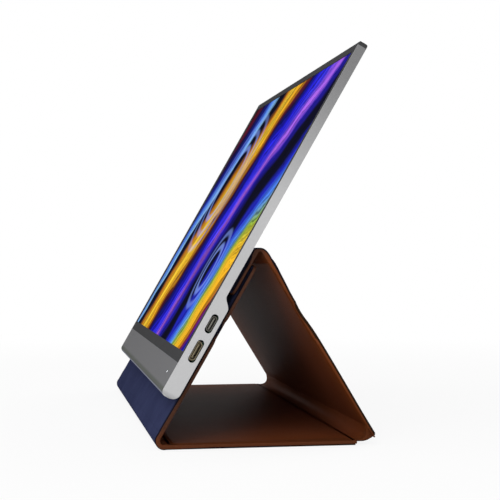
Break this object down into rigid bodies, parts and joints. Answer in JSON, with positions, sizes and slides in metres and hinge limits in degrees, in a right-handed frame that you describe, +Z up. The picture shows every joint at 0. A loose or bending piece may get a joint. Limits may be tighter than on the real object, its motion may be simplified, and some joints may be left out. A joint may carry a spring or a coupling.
{
  "type": "portable monitor with cover",
  "caption": "Slim portable monitor leaning on its folding leather cover, whose coupled panels form a triangular stand that lets the screen lie back; the screen lifts off its magnets.",
  "frame": {"origin": "middle of the base panel's underside, on the table", "axes": "+X along the folds to the screen user's right, +Y to the back, +Z up"},
  "size_m": [0.36, 0.1282, 0.2269],
  "materials": {
    "housing_metal": "satin",
    "bezel": "matte",
    "chin": "satin",
    "screen_glass": "satin",
    "films": "satin",
    "light_guide": "gloss",
    "circuit_board": "satin",
    "steel": "satin",
    "tape": "matte",
    "flex": "satin",
    "socket_shell": "satin",
    "socket_plastic": "satin",
    "lens": "gloss",
    "keys": "satin",
    "cover_leather": "satin",
    "cover_lining": "matte",
    "fibre_board": "matte",
    "magnet": "satin"
  },
  "bodies": {
    "base_panel": {"base_leather": "cover_leather", "base_board": "fibre_board", "base_lining": "cover_lining", "front_fold_leather": "cover_leather", "front_fold_lining": "cover_lining", "rear_fold_leather": "cover_leather", "rear_fold_lining": "cover_lining"},
    "rest_panel": {"rest_leather": "cover_leather", "rest_lower_board": "fibre_board", "rest_upper_board": "fibre_board", "rest_lining": "cover_lining", "rest_magnets": "magnet"},
    "prop_panel": {"prop_leather": "cover_leather", "prop_lower_board": "fibre_board", "prop_upper_board": "fibre_board", "prop_lining": "cover_lining", "top_fold_leather": "cover_leather", "top_fold_lining": "cover_lining"},
    "tuck_flap": {"flap_leather": "cover_leather", "flap_board": "fibre_board", "flap_lining": "cover_lining", "flap_magnets": "magnet"},
    "monitor": {"rear_housing": "housing_metal", "front_bezel": "bezel", "chin_panel": "chin", "lcd_cell": "screen_glass", "optical_films": "films", "light_guide": "light_guide", "reflector_film": "films", "led_bar": "circuit_board", "panel_tray": "steel", "panel_tapes": "tape", "driver_board": "circuit_board", "panel_flex": "flex", "main_board": "circuit_board", "shield_can": "steel", "board_screws": "steel", "usb_c_socket": "socket_shell", "mini_hdmi_socket": "socket_shell", "earphone_socket": "socket_plastic", "status_lens": "lens", "key_board": "circuit_board", "key_flex": "flex", "latch_plates": "steel"},
    "power_key_body": {"power_key": "keys"},
    "menu_key_body": {"menu_key": "keys"},
    "up_key_body": {"up_key": "keys"},
    "down_key_body": {"down_key": "keys"}
  },
  "joints": [
    {"name": "rear_fold", "type": "hinge", "parent": "base_panel", "child": "prop_panel", "pos_m": [0, 0.061, 0.0031], "axis": [-1, 0, 0], "range_deg": [0, 70]},
    {"name": "front_fold", "type": "hinge", "parent": "base_panel", "child": "rest_panel", "pos_m": [0, -0.061, 0.0031], "axis": [-1, 0, 0], "range_deg": [0, 35]},
    {"name": "top_fold", "type": "hinge", "parent": "prop_panel", "child": "tuck_flap", "pos_m": [0, -0.00353, 0.10964], "axis": [1, 0, 0], "range_deg": [0, 35]},
    {"name": "monitor_lift", "type": "slide", "parent": "rest_panel", "child": "monitor", "axis": [0, -0.866, 0.5], "range_m": [0, 0.06]},
    {"name": "power_press", "type": "slide", "parent": "monitor", "child": "power_key_body", "axis": [1, 0, 0], "range_m": [0, 0.0004], "stiffness_N_per_m": 500},
    {"name": "menu_press", "type": "slide", "parent": "monitor", "child": "menu_key_body", "axis": [1, 0, 0], "range_m": [0, 0.0004], "stiffness_N_per_m": 500},
    {"name": "up_press", "type": "slide", "parent": "monitor", "child": "up_key_body", "axis": [1, 0, 0], "range_m": [0, 0.0004], "stiffness_N_per_m": 500},
    {"name": "down_press", "type": "slide", "parent": "monitor", "child": "down_key_body", "axis": [1, 0, 0], "range_m": [0, 0.0004], "stiffness_N_per_m": 500}
  ],
  "couplings": [
    {"joint": "front_fold", "follows": "rear_fold", "ratio": 0.5},
    {"joint": "top_fold", "follows": "rear_fold", "ratio": 0.5}
  ]
}
